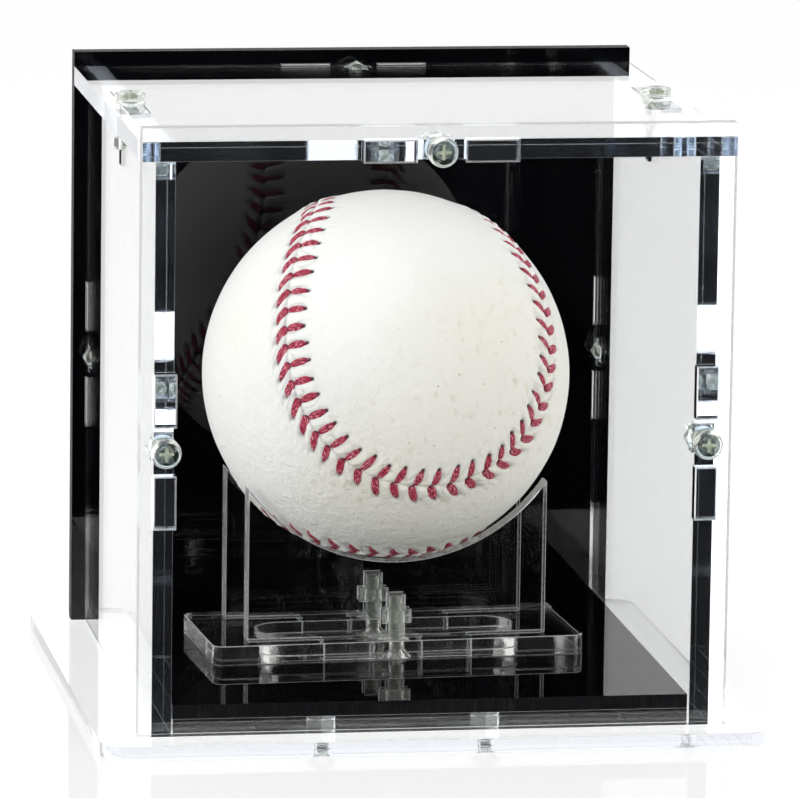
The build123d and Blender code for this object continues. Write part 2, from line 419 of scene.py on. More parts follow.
def ball_leather(settings):
    """White ball leather with pores, folds and faint stains, darkened where the mesh says: dirt and painted
    shade at the stitch holes, painted shade along its folds and beside the threads.
    """
    finish = Finish("ball_leather")
    cream, dingy, stain = (0.82, 0.80, 0.72, 1), (0.80, 0.76, 0.64, 1), (0.55, 0.44, 0.24, 1)
    speck, grime_and_shade = (0.24, 0.19, 0.07, 1), (0.05, 0.025, 0.04, 1)
    from_middle = finish.vector("SUBTRACT", finish.place, tuple(ball_centre()))
    held = finish.vector("DOT_PRODUCT", from_middle, HELD_SIDE, "Value")
    drift = finish.math("MULTIPLY", finish.noise(26 * MM, 3), 24 * MM)
    handled = finish.span(finish.math("ADD", held, drift), 18 * MM, 42 * MM, smooth=True)
    cloud = finish.span(finish.noise(24 * MM, 4, 0.6), 0.45, 0.75, 0, 0.4, smooth=True)
    blotch = finish.span(finish.noise(2.4 * MM, 5, 0.7), 0.56, 0.72, 0, 0.5)
    colour = tuple(settings.leather_colour)
    for share, over in (
        (cloud, cream),
        (finish.math("MULTIPLY", handled, 0.4), dingy),
        (finish.math("MULTIPLY", blotch, handled), stain),
        (finish.math("MULTIPLY", finish.specks(2.4 * MM, 0.2 * MM, 0.45), handled), speck),
        (finish.math("MULTIPLY", finish.specks(11 * MM, 0.36 * MM, 0.35), 0.8), speck),
        # The mesh's stored value darkens the leather with dirt and painted shade.
        (finish.soil(), grime_and_shade),
    ):
        colour = finish.blend(share, colour, over)
    folds = finish.noise(1.9 * MM, 5, 0.6)
    side = finish.vector("DOT_PRODUCT", from_middle, WRINKLED_SIDE, "Value")
    wrinkled = finish.span(side, 8 * MM, 32 * MM, 0.35, 1.0)
    folded = finish.bump(finish.math("MULTIPLY", folds, wrinkled), 0.55 * MM)
    return finish.made(
        Base_Color=colour,
        Roughness=finish.span(folds, 0.3, 0.7, 0.42, 0.58),
        Normal=finish.bump(finish.cells(0.5 * MM), 0.04 * MM, folded),
    )


def stitch_thread(settings):
    """Waxed cotton thread: twisted fibres along each stitch, with painted shade in the twist and painted
    highlights on it, darkened where the mesh says by dirt and painted shade.
    """
    finish = Finish("stitch_thread")
    fibre_highlight, twist_shade, grime_and_shade = (0.90, 0.46, 0.52, 1), (0.15, 0.008, 0.035, 1), (0.05, 0.012, 0.035, 1)
    lay = finish.node("ShaderNodeUVMap", uv_map="thread").outputs[0]
    twist = finish.stretched((4.6, 1.3, 1.0), (0, 0, radians(28)), where=lay)
    fibres = finish.noise(1.0, 4.0, 0.6, where=twist)
    patches = finish.span(finish.noise(2.5 * MM, 3), 0.3, 0.55)
    # The fibre noise that makes the bumps also paints them: painted shade in the hollows, painted
    # highlights on the crests.
    glint = finish.math("MULTIPLY", finish.span(fibres, 0.52, 0.62), patches)
    colour = finish.blend(finish.span(fibres, 0.40, 0.50), twist_shade, tuple(settings.thread_colour))
    colour = finish.blend(glint, colour, fibre_highlight)
    # The mesh's stored value darkens the thread with dirt and painted shade.
    return finish.made(
        Base_Color=finish.blend(finish.soil(), colour, grime_and_shade),
        Specular_IOR_Level=0.3,
        Roughness=finish.span(fibres, 0.3, 0.7, 0.45, 0.7),
        Normal=finish.bump(fibres, 0.2 * MM),
    )


def wound_yarn():
    """Grey wool yarn wound under the leather."""
    finish = Finish("wound_yarn")
    strands = finish.noise(0.9 * MM, 3, where=finish.stretched((1, 0.2, 0.6)))
    shade, wool = (0.32, 0.3, 0.27, 1), (0.66, 0.64, 0.58, 1)
    return finish.made(
        Base_Color=finish.blend(finish.span(strands, 0.3, 0.7), shade, wool),
        Roughness=0.9,
        Normal=finish.bump(strands, 0.3 * MM),
    )


def core_rubber():
    """Dark red rubber round the cork core."""
    finish = Finish("core_rubber")
    mottle = finish.noise(2 * MM, 4)
    deep, red = (0.16, 0.03, 0.025, 1), (0.3, 0.06, 0.05, 1)
    return finish.made(
        Base_Color=finish.blend(finish.span(mottle, 0.35, 0.65), deep, red),
        Roughness=0.7,
        Normal=finish.bump(mottle, 0.05 * MM),
    )


def dress(node, *materials):
    """Gives a node of the frame its materials."""
    slots = frame["nodes"][node].data.materials
    slots.clear()
    for material in materials:
        slots.append(material)


WELD_DISTANCE = 0.002 * MM


def break_edges(node, settings, share=1.0, rim_slot=-1):
    """Chamfers a cut sheet's edges finely and keeps its faces off the sheets that it touches."""
    sheet = frame["nodes"][node]
    weld = sheet.modifiers.new("weld", "WELD")
    weld.merge_threshold = WELD_DISTANCE
    film = sheet.modifiers.new("film", "DISPLACE")
    film.strength = -settings.fit_gap
    film.mid_level = 0.0
    chamfer = sheet.modifiers.new("chamfer", "BEVEL")
    chamfer.width = settings.edge_break * share
    chamfer.segments = 1
    chamfer.material = rim_slot
    # A wide rim would be clamped away by the close edges round the cradles' tabs.
    chamfer.use_clamp_overlap = share < 3
    chamfer.limit_method = "ANGLE"
    chamfer.angle_limit = radians(50)


def mark_cut_edges(node, axis):
    """Gives the second material to the faces that don't lie square to the sheet's thickness."""
    number = "XYZ".index(axis)
    for face in frame["nodes"][node].data.polygons:
        face.material_index = int(abs(face.normal[number]) < 0.7)
        face.use_smooth = False


def new_piece(name, points, faces, material, smooth=True):
    """A mesh object from points and faces."""
    mesh = bpy.data.meshes.new(name)
    mesh.from_pydata([tuple(p) for p in points], [], faces)
    mesh.materials.append(material)
    piece = bpy.data.objects.new(name, mesh)
    bpy.context.scene.collection.objects.link(piece)
    for face in mesh.polygons:
        face.use_smooth = smooth
    return piece


def band_faces(rings, columns, base=0):
    """Faces between closed rings of points that follow one another from the number base."""
    faces = []
    for low in range(base, base + (rings - 1) * columns, columns):
        high = low + columns
        for column in range(columns):
            after = (column + 1) % columns
            faces.append((low + column, low + after, high + after, high + column))
    return faces


def solid_faces(rings, columns, base=0):
    """The same, with a cap on the first and the last ring."""
    first = range(base, base + columns)
    last = range(base + (rings - 1) * columns, base + rings * columns)
    return band_faces(rings, columns, base) + [tuple(reversed(first)), tuple(last)]


def turn_outwards(piece, weld=None):
    """Points a closed mesh's faces outwards, after a weld of its points if a distance for it is given."""
    work = bmesh.new()
    work.from_mesh(piece.data)
    if weld:
        bmesh.ops.remove_doubles(work, verts=work.verts, dist=weld)
        bmesh.ops.dissolve_degenerate(work, edges=work.edges, dist=weld / 2)
    bmesh.ops.recalc_face_normals(work, faces=work.faces)
    work.to_mesh(piece.data)
    work.free()


def sharpen(piece, angle=40.0):
    """Keeps edges sharper than the angle crisp."""
    for face in piece.data.polygons:
        face.use_smooth = True
    piece.data.set_sharp_from_angle(angle=radians(angle))


def keep_soil_and_shade(piece, soil):
    """Stores how dark each point of a piece is painted, for dirt and painted shade."""
    layer = piece.data.attributes.new("soil", "FLOAT", "POINT")
    layer.data.foreach_set("value", np.asarray(soil, np.float32))


class DISPLAYCASE_OT_clear_sheets(bpy.types.Operator):
    """Dress the clear panels, base and stand"""

    bl_idname = "display_case.clear_sheets"
    bl_label = "Clear sheets"

    def execute(self, context):
        settings = context.scene.display_case_sheets
        face = clear_acrylic(settings)
        rim = frosted_rim()
        panel, stand = settings.panel_frost, settings.stand_frost
        fine, coarse = 0.006 * MM, 0.045 * MM
        # Sheets, then their edge's name, tint, frost, haze and ridge depth, and how much wider the rim is.
        for nodes, name, tint, frost, haze, depth, share in (
            (CLEAR_PANELS, "smooth_cut_edge", (0.83, 0.90, 1.0, 1), panel, 0.008, fine, 1.0),
            (("plinth_plate",), "plinth_cut_edge", (0.97, 0.98, 1.0, 1), panel, 0.01, fine, 1.0),
            # The base plate's edge tint is grey: painted shade that darkens its outline.
            (("base_plate",), "base_cut_edge", (0.66, 0.68, 0.71, 1), panel, 0.01, fine, 2.0),
            (("stand_base",), "striated_cut_edge", (0.98, 0.98, 0.96, 1), 0.45 * stand, 0.006, coarse, 5.0),
            (CRADLES, "frosted_cut_edge", (0.98, 0.98, 0.95, 1), stand, 0.14, coarse, 5.0),
        ):
            for node in nodes:
                axis = THICKNESS_AXIS.get(node, "Z")
                edge_name = f"{name}_{axis.lower()}"
                edge = bpy.data.materials.get(edge_name)
                edge = edge or cut_edge(settings, axis, edge_name, tint, frost, haze, depth)
                dress(node, face, edge, rim)
                mark_cut_edges(node, axis)
                break_edges(node, settings, share, rim_slot=2)
        return {"FINISHED"}


class DISPLAYCASE_OT_black_sheets(bpy.types.Operator):
    """Dress the black back panel and floor"""

    bl_idname = "display_case.black_sheets"
    bl_label = "Black sheets"

    def execute(self, context):
        settings = context.scene.display_case_sheets
        face = black_acrylic(settings)
        for node in BLACK_SHEETS:
            axis = THICKNESS_AXIS.get(node, "Z")
            dress(node, face, black_cut_edge(settings, axis))
            mark_cut_edges(node, axis)
            break_edges(node, settings)
        return {"FINISHED"}


SCREW_COLUMNS = 36
THREAD_ROWS = 8
SHANK_RADIUS = 1.5 * MM
THREAD_RUNOUT = 0.3 * MM
TIP_TAPER = 0.5 * MM
TIP_SHARE = 0.45
PAN_RADIUS = 3.0 * MM
PAN_HEIGHT = 2.2 * MM
PAN_ROUNDING = 0.75 * MM
PAN_ROUND_STEPS = 8
FLAT_RADIUS = 2.8 * MM
FLAT_RIM = 0.2 * MM
FACE_LOOP = 0.04 * MM
SEAT_BREAK = 0.05 * MM
RECESS_LENGTH = 3.0 * MM
RECESS_WIDTH = 0.9 * MM
RECESS_DEPTH = 1.35 * MM
NUT_COLUMNS = 72
BORE_RADIUS = 1.55 * MM
BORE_LIP = 0.12 * MM


def node_shape(node):
    """A node's low and high corner, and its points seen from its middle."""
    low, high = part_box(node)
    points = np.array([v.co for v in frame["nodes"][node].data.vertices])
    return low, high, points - np.array((low + high) / 2)


def screw_frame(node):
    """A screw node's head end, the direction from there to its tip and its overall length."""
    low, high, points = node_shape(node)
    size = high - low
    axis = min(range(3), key=lambda k: abs(size[k - 1] - size[k - 2]))
    reach = np.linalg.norm(np.delete(points, axis, 1), axis=1)
    head_at_low = points[reach.argmax(), axis] < 0
    start = (low + high) / 2
    start[axis] = low[axis] if head_at_low else high[axis]
    direction = Vector((0, 0, 0))
    direction[axis] = 1.0 if head_at_low else -1.0
    return start, direction, size[axis]


def pan_profile():
    """Heights and radii of a pan head, from its outer face to its seat."""
    face = PAN_RADIUS - PAN_ROUNDING
    rows = [(0.0, face - RECESS_WIDTH), (0.0, face - FACE_LOOP), (0.0, face)]
    for step in range(1, PAN_ROUND_STEPS + 1):
        turn = pi / 2 * step / PAN_ROUND_STEPS
        rows.append((PAN_ROUNDING * (1 - cos(turn)), PAN_RADIUS - PAN_ROUNDING * (1 - sin(turn))))
    rows.append((PAN_HEIGHT - SEAT_BREAK, PAN_RADIUS))
    rows.append((PAN_HEIGHT, PAN_RADIUS - SEAT_BREAK))
    rows.append((PAN_HEIGHT, BORE_RADIUS))
    return rows


def flat_profile():
    """Heights and radii of a countersunk head, from its face down to the shank."""
    return [
        (0.0, SHANK_RADIUS),
        (0.0, FLAT_RADIUS - 2 * FACE_LOOP),
        (0.0, FLAT_RADIUS - FACE_LOOP),
        (FACE_LOOP, FLAT_RADIUS),
        (FLAT_RIM, FLAT_RADIUS),
        (FLAT_RIM + FLAT_RADIUS - SHANK_RADIUS, SHANK_RADIUS),
    ]


def thread_radius(height, column, start, length, settings):
    """Radius of the threaded shank at a height, on one of the screw's columns."""
    phase = (height / settings.thread_pitch - column / SCREW_COLUMNS) % 1.0
    groove = max(0.0, 1 - abs(2 * phase - 1) * 1.25)
    fade = min(1.0, (height - start) / settings.thread_pitch)
    radius = SHANK_RADIUS - settings.thread_depth * groove * fade
    return min(radius, SHANK_RADIUS - max(0.0, height - (length - TIP_TAPER)))


def screw_mesh(name, node, head, settings, materials):
    """A screw with a cut thread and a cross recess, in the place of its node."""
    start, direction, length = screw_frame(node)
    thread_start = head[-1][0] + THREAD_RUNOUT
    step = settings.thread_pitch / THREAD_ROWS
    count = int((length - thread_start) / step)
    thread = [(thread_start + k * step, None) for k in range(count)]
    rows = head + thread + [(length, TIP_SHARE * SHANK_RADIUS)]
    points = []
    for height, radius in rows:
        for column in range(SCREW_COLUMNS):
            turn = FULL_TURN * column / SCREW_COLUMNS
            r = thread_radius(height, column, thread_start, length, settings) if radius is None else radius
            points.append((r * cos(turn), r * sin(turn), height))
    screw = new_piece(name, points, solid_faces(len(rows), SCREW_COLUMNS), materials[0])
    turn_outwards(screw)
    cut_recess(screw, materials[1])
    screw.data.materials.append(materials[2])
    for face in screw.data.polygons:
        if face.material_index == 0 and abs(face.center.z) < 0.001 * MM:
            face.material_index = 2
    turn = direction.to_track_quat("Z", "Y").to_matrix().to_4x4()
    screw.data.transform(Matrix.Translation(start) @ turn)
    return screw


def cut_recess(screw, material):
    """Cuts a cross recess, narrower towards its floor, into the head at height 0."""
    cutters = []
    arm = ((-1, -0.5), (0, -1), (1, -0.5), (1, 0.5), (0, 1), (-1, 0.5))
    for turned in (False, True):
        corners = []
        for height, share in ((-0.5 * MM, 1.1), (RECESS_DEPTH, 0.55)):
            for along, across in arm:
                x = along * RECESS_LENGTH / 2 * share
                y = across * RECESS_WIDTH / 2 * (0.5 + share / 2)
                corners.append((-y, x, height) if turned else (x, y, height))
        cutter = new_piece("recess_cutter", corners, solid_faces(2, len(arm)), material, smooth=False)
        turn_outwards(cutter)
        cutters.append(cutter)
        cut = screw.modifiers.new("recess", "BOOLEAN")
        cut.operation = "DIFFERENCE"
        cut.solver = "EXACT"
        cut.material_mode = "TRANSFER"
        cut.object = cutter
    apply_modifiers(screw)
    for cutter in cutters:
        bpy.data.objects.remove(cutter)


def apply_modifiers(piece):
    """Replaces a piece's mesh by what its modifiers make of it."""
    bpy.context.view_layer.update()
    seen = piece.evaluated_get(bpy.context.evaluated_depsgraph_get())
    mesh = bpy.data.meshes.new_from_object(seen)
    piece.modifiers.clear()
    piece.data = mesh


def nut_mesh(name, node, material):
    """A hexagon nut with chamfered corners, in the place of its node."""
    low, high, points = node_shape(node)
    size = high - low
    axis = min(range(3), key=lambda k: size[k])
    others = [k for k in range(3) if k != axis]
    far = points[np.linalg.norm(points[:, others], axis=1).argmax()]
    corner_turn = atan2(far[others[1]], far[others[0]])
    half = np.linalg.norm(far[others]) * cos(pi / 6)
    rings = ((0.1, "bore"), (0.0, "lip"), (0.0, "face"), (0.0, "side"))
    rings += tuple((1 - height, kind) for height, kind in reversed(rings))
    spots = []
    for height, kind in rings:
        for column in range(NUT_COLUMNS):
            turn = FULL_TURN * column / NUT_COLUMNS
            hexagon = half / cos((turn - corner_turn) % (pi / 3) - pi / 6)
            face_radius = min(hexagon, half * 0.98)
            drop = (hexagon - face_radius) * tan(radians(30))
            radii = {"bore": BORE_RADIUS, "lip": BORE_RADIUS + BORE_LIP, "face": face_radius}
            radius = radii.get(kind, hexagon)
            spot = [0.0, 0.0, 0.0]
            spot[axis] = (height - 0.5) * size[axis]
            if kind == "side":
                spot[axis] -= drop * (1 if height > 0.5 else -1)
            spot[others[0]] = radius * cos(turn)
            spot[others[1]] = radius * sin(turn)
            spots.append(Vector(spot) + (low + high) / 2)
    # The last band runs from the last ring back to the first.
    bands = band_faces(len(rings) + 1, NUT_COLUMNS)
    piece = new_piece(name, spots, [tuple(i % len(spots) for i in face) for face in bands], material)
    turn_outwards(piece)
    sharpen(piece, angle=20.0)
    return piece


def body_of_node(node):
    """The body that a node rides on."""
    return next(body for body, nodes in frame["record"]["behaviour"]["bodies"].items() if node in nodes)


class DISPLAYCASE_OT_fasteners(bpy.types.Operator):
    """Build the threaded screws and their nuts"""

    bl_idname = "display_case.fasteners"
    bl_label = "Screws and nuts"

    def execute(self, context):
        settings = context.scene.display_case_fasteners
        clear = moulded_plastic(settings, "clear_fastener", 0.045)
        cloudy = moulded_plastic(settings, "cloudy_fastener", 0.8)
        recess = frosted_recess(settings)
        face = head_face()
        for node in sorted(frame["nodes"]):
            if node.endswith("_screw"):
                countersunk = node.startswith(("base_", "stand_"))
                head = flat_profile() if countersunk else pan_profile()
                # A pan head's flat face takes the near-black finish, which is painted shade.
                finishes = (clear, clear, clear) if countersunk else (clear, recess, face)
                name = node.replace("_screw", "_threaded_screw")
                piece = screw_mesh(name, node, head, settings, finishes)
                sharpen(piece)
            elif node.endswith("_nut"):
                material = cloudy if node.startswith("base_") else clear
                piece = nut_mesh(node.replace("_nut", "_hex_nut"), node, material)
            else:
                continue
            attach(piece, body_of_node(node))
            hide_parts(node)
        return {"FINISHED"}


SEAM_FIRST = 0.66
SEAM_THIRD = 0.34
SEAM_FIFTH = -0.02
SEAM_RISE = 0.91
SEAM_STEPS = 7200
BALL_TILT = radians(-42.5)
BALL_SPIN = radians(-38.7)
BALL_RADIUS = 36.9 * MM


def ball_centre():
    low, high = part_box("ball_winding")
    return np.array((low + high) / 2)


def ball_turn():
    """The ball's attitude on its stand."""
    return np.array(Matrix.Rotation(BALL_TILT, 3, "X") @ Matrix.Rotation(BALL_SPIN, 3, "Z"))


def seam_direction(turn):
    """Unit vectors from the ball's centre to the seam, in the case's frame."""
    turn = np.asarray(turn, float)
    x = SEAM_FIRST * np.cos(turn) + SEAM_THIRD * np.cos(3 * turn) + SEAM_FIFTH * np.cos(5 * turn)
    y = SEAM_FIRST * np.sin(turn) - SEAM_THIRD * np.sin(3 * turn) + SEAM_FIFTH * np.sin(5 * turn)
    line = np.stack([x, y, SEAM_RISE * np.sin(2 * turn)], -1)
    line /= np.linalg.norm(line, axis=-1, keepdims=True)
    return line @ ball_turn().T


def seam_frames(turns):
    """For each turn: the direction out of the ball, the one along the seam and the one across it."""
    out = seam_direction(turns)
    along = seam_direction(turns + 0.001) - seam_direction(turns - 0.001)
    along -= out * (out * along).sum(1, keepdims=True)
    along /= np.linalg.norm(along, axis=1, keepdims=True)
    return out, along, np.cross(out, along)


def seam_steps():
    """Turn angles all round the seam, and the lengths between them on a ball of radius 1."""
    turns = np.linspace(0, FULL_TURN, SEAM_STEPS + 1)
    return turns, np.linalg.norm(np.diff(seam_direction(turns), axis=0), axis=1)


def seam_turns(places):
    """Turn angles at given shares of the seam's length."""
    turns, steps = seam_steps()
    length = np.concatenate([[0], np.cumsum(steps)])
    whole = np.floor(places)
    return np.interp((places - whole) * length[-1], length, turns) + whole * FULL_TURN


def on_ball(out, along, across, forward, sideways):
    """The direction of a spot forward along the seam and sideways of it, in metres on the leather."""
    step = np.hypot(forward, sideways)[..., None]
    way = along * forward[..., None] + across * sideways[..., None]
    way = way / np.maximum(step, 1e-12)
    angle = step / BALL_RADIUS
    return out * np.cos(angle) + way * np.sin(angle)


OUTER_LENGTH = 4.1 * MM
INNER_START = 0.6 * MM
SEAM_GAP = 0.10 * MM
# Sewn by hand, so the places, lengths and leans of the stitches wander. Each entry is a stitch's number,
# out of TABLE_PAIRS, and a value. The inner side is the one that the seam's frame points across to.
TABLE_PAIRS = 108
PLACE_DRIFT = ((0, -0.3), (6, -0.5), (40, 0.0), (66, 0.5), (82, 0.62), (89, 0.25), (94, 0.13), (98, 0.1),
               (101, -0.2), (103, -0.3), (108, -0.3))
INNER_LENGTH_MM = ((0, 3.5), (12, 3.6), (40, 3.9), (84, 4.1), (90, 4.0), (95, 3.6), (99, 3.4), (108, 3.5))
INNER_LEAN = ((0, 60), (12, 62), (40, 75), (66, 82), (84, 94), (87, 86), (90, 76), (96, 73), (101, 60),
              (108, 60))
OUTER_LEAN = ((0, 58), (12, 60), (40, 55), (66, 48), (84, 38), (87, 46), (90, 60), (94, 66), (98, 57),
              (108, 58))


def from_table(table, numbers):
    """Values between the entries of a table."""
    at, values = zip(*table)
    return np.interp(numbers, at, values)


def stitch_places(settings):
    """Each stitch pair's place, counted in pairs along the seam."""
    numbers = np.arange(settings.stitch_pairs)
    return numbers + from_table(PLACE_DRIFT, numbers * TABLE_PAIRS / settings.stitch_pairs)


def stitch_layout(settings):
    """The stitches' seam frames, and for each side where its stitches start and end on the leather."""
    rng = np.random.default_rng(7)
    count = settings.stitch_pairs
    numbers = np.arange(count) * TABLE_PAIRS / count
    frames = seam_frames(seam_turns(stitch_places(settings) / count))
    arms = []
    for side in (1, -1):
        table = INNER_LEAN if side > 0 else OUTER_LEAN
        lean = np.radians(from_table(table, numbers) + rng.normal(0, 4, count))
        usual = from_table(INNER_LENGTH_MM, numbers) * MM if side > 0 else OUTER_LENGTH
        length = usual * (1 + rng.normal(0, 0.06, count))
        first = INNER_START if side > 0 else 0.0
        start = np.stack([np.full(count, first), np.full(count, side * SEAM_GAP)], 1)
        end = start + np.stack([length * np.cos(lean), side * length * np.sin(lean)], 1)
        arms.append((side, start, end))
    return frames, arms


# Rows of points beside the seam, as distances from it, then rows at even steps to the panel's middle line.
SEAM_ROWS_MM = (0, 0.08, 0.16, 0.26, 0.36, 0.48, 0.62, 0.78, 0.95, 1.15, 1.35, 1.6, 1.85, 2.1, 2.4, 2.7,
                3.0, 3.3, 3.6, 3.9, 4.2, 4.5, 4.8, 5.2, 5.6, 6.1, 6.7, 7.4)
FAR_ROWS = 26
INNER_ROW_STEP = 6
COLUMNS_PER_STITCH = 20
LEATHER_INSIDE = 35.65 * MM
LEATHER_WELD = 0.004 * MM


def middle_line(seam, pole):
    """For each direction on the seam, the nearest one on the middle line of the panel round a pole."""
    basis = ball_turn()
    up = basis @ np.array((0, 0, pole))
    wide = basis @ np.array((1, -pole, 0)) / sqrt(2)
    foot = np.clip(np.arctan2(seam @ wide, seam @ up), -radians(100), radians(100))
    return np.cos(foot)[:, None] * up + np.sin(foot)[:, None] * wide


def panel_grid(seam, middle):
    """Directions in rows from the seam to a panel's middle line."""
    angle = np.arccos(np.clip((seam * middle).sum(1), -1, 1))
    near = np.array(SEAM_ROWS_MM) * MM / BALL_RADIUS
    rows = [np.full(len(seam), distance) for distance in near]
    rows += [near[-1] + (angle - near[-1]) * k / FAR_ROWS for k in range(1, FAR_ROWS + 1)]
    share = np.stack(rows) / angle
    grid = (np.sin((1 - share) * angle) / np.sin(angle))[..., None] * seam
    grid = grid + (np.sin(share * angle) / np.sin(angle))[..., None] * middle
    return grid / np.linalg.norm(grid, axis=2, keepdims=True)


def leather_panel(name, pole, settings, material, hole_trees):
    """One leather panel: a grid from the seam to the panel's middle line, with a matching inner face."""
    columns = settings.stitch_pairs * COLUMNS_PER_STITCH
    seam, _, across = seam_frames(seam_turns(np.arange(columns) / columns))
    middle = middle_line(seam, pole)
    side = 1 if ((middle - seam) * across).sum() > 0 else -1
    grid = panel_grid(seam, middle)
    inner_rows = list(range(0, len(grid), INNER_ROW_STEP)) + [len(grid) - 1]
    flat = grid.reshape(-1, 3)
    height, soil = leather_relief(flat, side, settings, hole_trees[side])
    outer = flat * (BALL_RADIUS + height)[:, None]
    inner = grid[inner_rows].reshape(-1, 3) * LEATHER_INSIDE
    inside = len(outer)
    faces = band_faces(len(grid), columns)
    faces += [face[::-1] for face in band_faces(len(inner_rows), columns, inside)]
    faces += [(c, inside + c, inside + (c + 1) % columns, (c + 1) % columns) for c in range(columns)]
    piece = new_piece(name, np.concatenate([outer, inner]) + ball_centre(), faces, material)
    keep_soil_and_shade(piece, np.concatenate([soil, np.zeros(len(inner))]))
    turn_outwards(piece, weld=LEATHER_WELD)
    return piece


def nearest(tree, directions):
    """The index of the tree's point nearest to each direction, and its distance on the ball in mm."""
    index = np.empty(len(directions), int)
    away = np.empty(len(directions))
    for k, spot in enumerate(directions):
        _, index[k], away[k] = tree.find(spot)
    return index, away * BALL_RADIUS / MM


def tree_of(directions):
    tree = KDTree(len(directions))
    for k, spot in enumerate(directions):
        tree.insert(spot, k)
    tree.balance()
    return tree


def bell(distance, width, power=2):
    """1 where the distance is 0, falling to nothing over a few widths."""
    return np.exp(-((distance / width) ** power))


SEAM_POINTS_PER_STITCH = 40
FOLD_LANES = 29
FOLD_WIDTH = 0.13
FOLD_STRETCH = 0.24
FOLD_OFFSET = 40


def pulled_folds(number, away, side, count):
    """Thin folds that run from the seam into the leather, from 0 to 1."""
    turn = FULL_TURN * number / count
    lanes = [FOLD_LANES * np.cos(turn), FOLD_LANES * np.sin(turn), away * FOLD_STRETCH + FOLD_OFFSET * side]
    pull = np.array([noise.noise(Vector(spot)) for spot in np.stack(lanes, 1)])
    return np.clip(1 - np.abs(pull) / FOLD_WIDTH, 0, 1) * bell(away - 2.0, 2.3)


def leather_relief(directions, side, settings, hole_tree):
    """How far the leather's face stands off a true ball, and how dark it is painted for dirt and painted
    shade, for each direction.
    """
    # Distances and heights are in millimetres here. number counts the threads, which lie at whole numbers.
    count = settings.stitch_pairs
    fine = count * SEAM_POINTS_PER_STITCH
    index, away = nearest(tree_of(seam_direction(seam_turns(np.arange(fine) / fine))), directions)
    _, hole = nearest(hole_tree, directions)
    pitch = seam_steps()[1].sum() * BALL_RADIUS / MM / count
    places = stitch_places(settings)
    ring = np.concatenate([places[-2:] - count, places, places[:2] + count])
    number = np.interp(index / fine * count, ring, np.arange(-2, count + 2))
    table = INNER_LEAN if side > 0 else OUTER_LEAN
    lean = np.radians(from_table(table, (number * TABLE_PAIRS / count) % TABLE_PAIRS))
    first = INNER_START / MM if side > 0 else 0.0
    number = number - (first + away / np.tan(lean)) / pitch
    between = 0.5 - 0.5 * np.cos(FULL_TURN * number)
    off_thread = np.abs(number - np.round(number)) * pitch * np.sin(lean)
    along_thread = np.clip((4.2 - away) / 0.8, 0, 1)
    wander = np.array([noise.noise(Vector(d) * 9) for d in directions])
    crease = pulled_folds(number, away, side, count) * (1 - bell(off_thread, 0.6, 4) * along_thread)
    # The margin swells, and bulges between the threads.
    height = 0.16 * bell(away - 2.2, 2.2)
    height += 0.38 * between * bell(away - 0.9, 0.9)
    height += 0.22 * between * bell(away - 2.8, 1.4)
    # The threads, folds, seam and holes press it in, with a raised ring round each hole's pit.
    height -= 0.26 * bell(off_thread, 0.6) * along_thread
    height -= 0.12 * crease
    height -= 0.14 * bell(away, 0.3)
    height -= 0.40 * bell(hole, 0.4) + 0.10 * bell(hole, 1.1)
    # Beyond the holes it ripples, and the whole face is a little uneven.
    height += 0.035 * np.sin(2 * FULL_TURN * number + 5 * wander) * bell(away - 4.9, 1.3)
    height += 0.05 * wander
    # Darkness for the colour: dirt and painted shade in each hole, dirt round it, a faint darkening along
    # the seam, painted shade along the folds and a painted shadow beside each thread.
    hole_soil_and_shade = 1.0 if side > 0 else 0.55
    soil = hole_soil_and_shade * bell(hole, 0.4, 4) + 0.05 * bell(hole, 1.1)
    soil += 0.01 * bell(away, 0.3) + 0.28 * crease
    soil += 0.12 * bell(off_thread - 0.8, 0.3) * along_thread
    return height * MM, np.clip(soil, 0, 1)


class DISPLAYCASE_OT_ball_cover(bpy.types.Operator):
    """Build the ball's two leather panels"""

    bl_idname = "display_case.ball_cover"
    bl_label = "Ball leather"

    def execute(self, context):
        settings = context.scene.display_case_ball
        material = ball_leather(settings)
        frames, arms = stitch_layout(settings)
        trees = {side: tree_of(on_ball(*frames, end[:, 0], end[:, 1])) for side, _, end in arms}
        for pole in (1, -1):
            facing = (ball_turn() @ np.array((0, 0, pole)))[1]
            side = "front" if facing < 0 else "rear"
            piece = leather_panel(f"ball_cover_{side}", pole, settings, material, trees)
            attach(piece, "ball")
            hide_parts(f"leather_panel_{side}")
        dress("ball_winding", wound_yarn())
        dress("ball_pill", core_rubber())
        return {"FINISHED"}


ARM_STEPS = 20
ARM_COLUMNS = 20
ARM_SINK_MM = 0.42
STRAND_MM = 0.27
ARM_SPACING = 1.15
# Each side's stitch, in mm: its half width, the stretch of a sine and the power that give its outline,
# how high it rises and where that sine starts, how deep and how sharply its first end dips, and how dark
# its hole end is painted, for dirt and painted shade.
ARM_SHAPES = {
    1: {"half": 0.75, "outline": (0.06, 0.90, 0.55), "rise": (0.10, 0.0), "dip": (0.34, 12), "soil": 1.0},
    -1: {"half": 0.93, "outline": (0.22, 0.75, 0.8), "rise": (0.12, 0.2), "dip": (0.30, 22), "soil": 0.6},
}


